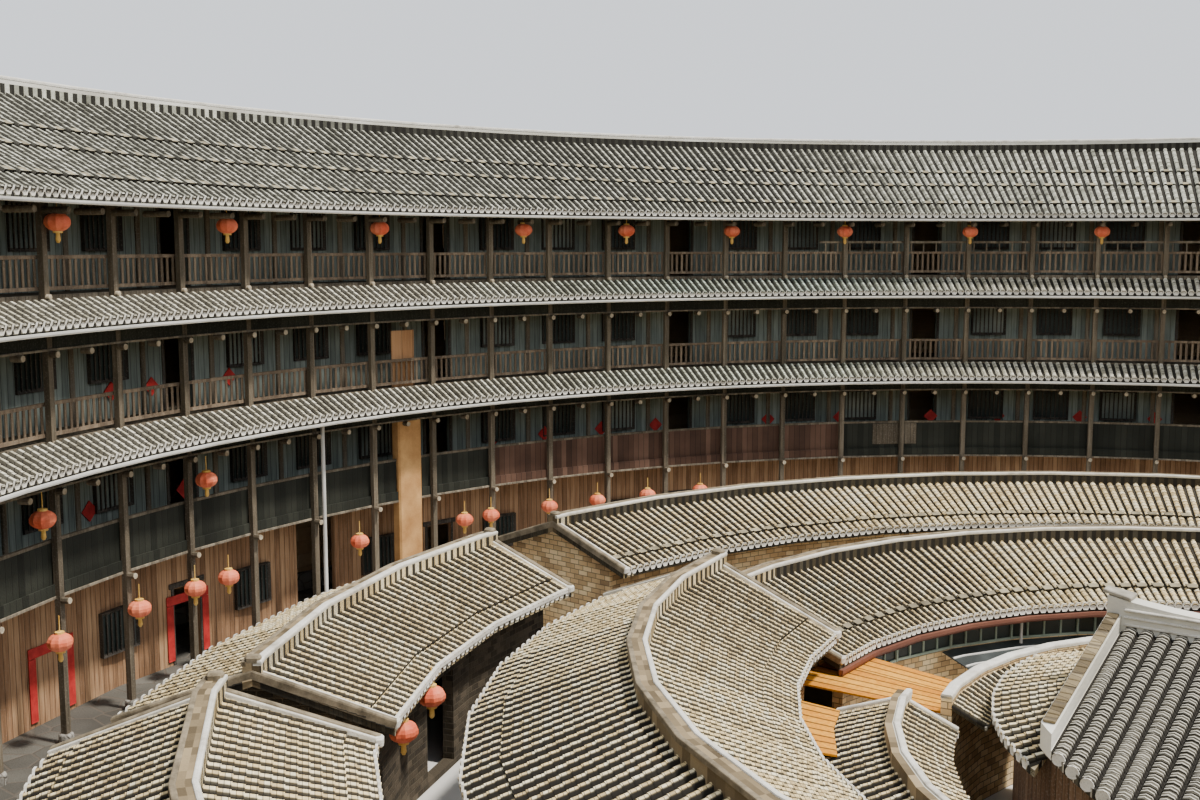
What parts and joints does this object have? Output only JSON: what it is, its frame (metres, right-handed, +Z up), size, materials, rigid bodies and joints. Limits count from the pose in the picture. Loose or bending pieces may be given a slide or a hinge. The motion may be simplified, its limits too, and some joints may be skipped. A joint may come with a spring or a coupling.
{
  "type": "tulou roundhouse, 1:2 scale model",
  "caption": "Round earthen house with timber galleries under a tiled ring roof, concentric rings of low tiled houses inside it and a hall in its court, at half real size.",
  "frame": {"origin": "centre of the outer ring at ground level", "axes": "+Z up, main gate towards -Y"},
  "size_m": [33.4082, 33.4082, 7.415],
  "materials": {
    "rammed_earth": "rammed earth in faint lifts, matt and weathered",
    "footing_stone": "rough river stone in mortar",
    "floor_stone": "worn stone slabs",
    "aged_timber": "dark weathered timber",
    "room_planks": "dark upright planks",
    "parapet_planks": "upright planks stained brown",
    "grey_tiles": "weathered grey clay tiles",
    "tan_tiles": "sun bleached clay tiles",
    "hall_tiles": "dark grey clay tiles with lime ends",
    "ridge_mortar": "lime mortar over stacked tiles",
    "house_brick": "sun dried brick, brown and rough",
    "hall_planks": "brown upright planks",
    "orange_boards": "orange brown boards",
    "white_gutter": "white plastic gutter, a little dirty",
    "lantern_cloth": "red cloth over ribs",
    "red_paper": "plain red paper"
  },
  "bodies": {
    "root": {"stone_footing_back": "footing_stone", "stone_footing_left": "footing_stone", "stone_footing_right": "footing_stone", "ground_floor": "floor_stone", "earth_wall_front": "rammed_earth", "earth_wall_front_right": "rammed_earth", "earth_wall_right": "rammed_earth", "earth_wall_back_right": "rammed_earth", "earth_wall_back": "rammed_earth", "earth_wall_back_left": "rammed_earth", "earth_wall_left": "rammed_earth", "earth_wall_front_left": "rammed_earth", "deck_2": "aged_timber", "deck_3": "aged_timber", "deck_4": "aged_timber", "gallery_posts_front": "aged_timber", "gallery_posts_front_right": "aged_timber", "gallery_posts_right": "aged_timber", "gallery_posts_back_right": "aged_timber", "gallery_posts_back": "aged_timber", "gallery_posts_back_left": "aged_timber", "gallery_posts_left": "aged_timber", "gallery_posts_front_left": "aged_timber", "room_front_1_back": "room_planks", "room_front_1_left": "room_planks", "room_front_1_right": "room_planks", "room_front_2": "room_planks", "room_front_3": "room_planks", "room_front_4": "room_planks", "parapet_2": "parapet_planks", "railing_3": "aged_timber", "railing_4": "aged_timber", "main_roof_inner": "grey_tiles", "main_roof_outer": "grey_tiles", "main_ridge": "ridge_mortar", "skirt_roof_3": "grey_tiles", "skirt_roof_4": "grey_tiles", "ring2_back_walls": "house_brick", "ring2_back_roof": "tan_tiles", "ring2_left_walls": "house_brick", "ring2_left_roof": "tan_tiles", "ring2_front_walls": "house_brick", "ring2_front_roof": "tan_tiles", "ring2_right_walls": "house_brick", "ring2_right_roof": "tan_tiles", "ring3_front_walls": "house_brick", "ring3_front_roof": "tan_tiles", "ring3_back_walls": "house_brick", "ring3_back_roof": "tan_tiles", "hall_walls": "hall_planks", "hall_roof": "hall_tiles", "wing_roof_left": "tan_tiles", "wing_roof_right": "tan_tiles", "court_wall": "house_brick", "court_back_roof": "tan_tiles", "court_front_roof": "tan_tiles", "court_front_wall": "house_brick", "court_cover_back": "orange_boards", "court_cover_front": "orange_boards"}
  },
  "joints": []
}
